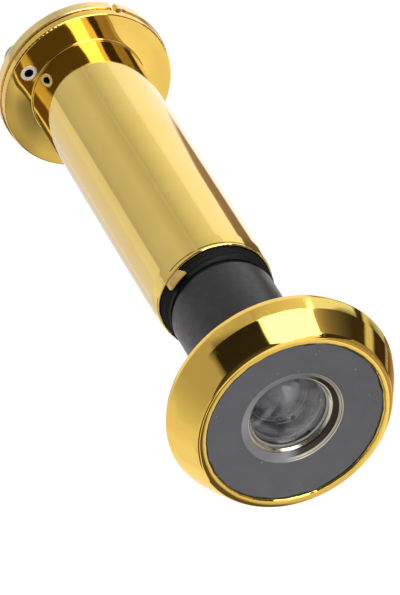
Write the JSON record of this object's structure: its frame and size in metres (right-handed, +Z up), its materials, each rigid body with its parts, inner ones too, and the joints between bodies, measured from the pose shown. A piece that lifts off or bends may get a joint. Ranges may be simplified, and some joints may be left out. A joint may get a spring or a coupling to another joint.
{
  "type": "door viewer",
  "caption": "Door viewer: a wide-angle lens barrel with a bevelled bezel screws into a flanged indoor tube that carries a swinging privacy cover.",
  "frame": {"origin": "centre of the indoor flange's face on the door, on the viewing axis", "axes": "+Y along the viewing axis towards the room indoors, -Y towards the visitor outdoors; +Z up, through the rivet that the cover hangs from"},
  "size_m": [0.03, 0.0843, 0.03],
  "materials": {
    "gold_plate": "mirror polished gold plate",
    "black_finish": "satin black",
    "plate_grey": "matt anthracite",
    "lens_glass": "polished optical glass",
    "lens_brass": "turned brass",
    "rivet_nickel": "bright nickel",
    "washer_steel": "plain",
    "spacer_black": "matt black",
    "seal_rubber": "soft"
  },
  "bodies": {
    "indoor_unit": {"viewer_tube": "gold_plate", "indoor_flange": "gold_plate", "pivot_rivet": "rivet_nickel", "pivot_washer": "washer_steel", "stop_pin": "gold_plate"},
    "cover": {"privacy_cover": "gold_plate"},
    "lens_stack": {"front_lens": "lens_glass", "front_spacer": "spacer_black", "second_lens": "lens_glass", "middle_spacer": "spacer_black", "third_lens": "lens_glass", "aperture_stop": "spacer_black", "spacer_tube": "spacer_black", "eyepiece_lens": "lens_glass"},
    "outdoor_unit": {"lens_barrel": "black_finish", "bezel_ring": "gold_plate", "front_plate": "plate_grey", "front_lens_ring": "lens_brass", "front_lens_seal": "seal_rubber", "retaining_ring": "black_finish"}
  },
  "joints": [
    {"name": "cover_swing", "type": "hinge", "parent": "indoor_unit", "child": "cover", "pos_m": [0, 0.00255, 0.00955], "axis": [0, 1, 0], "range_deg": [0, 245]},
    {"name": "barrel_advance", "type": "slide", "parent": "indoor_unit", "child": "lens_stack", "axis": [0, 1, 0], "range_m": [-0.02401, 0.02138]},
    {"name": "barrel_turn", "type": "hinge", "parent": "lens_stack", "child": "outdoor_unit", "pos_m": [0, -0.0505, 0], "axis": [0, 1, 0], "range_deg": [-11520, 10260]}
  ],
  "couplings": [
    {"joint": "barrel_advance", "follows": "barrel_turn", "m_per_rad": 0.00011937}
  ]
}
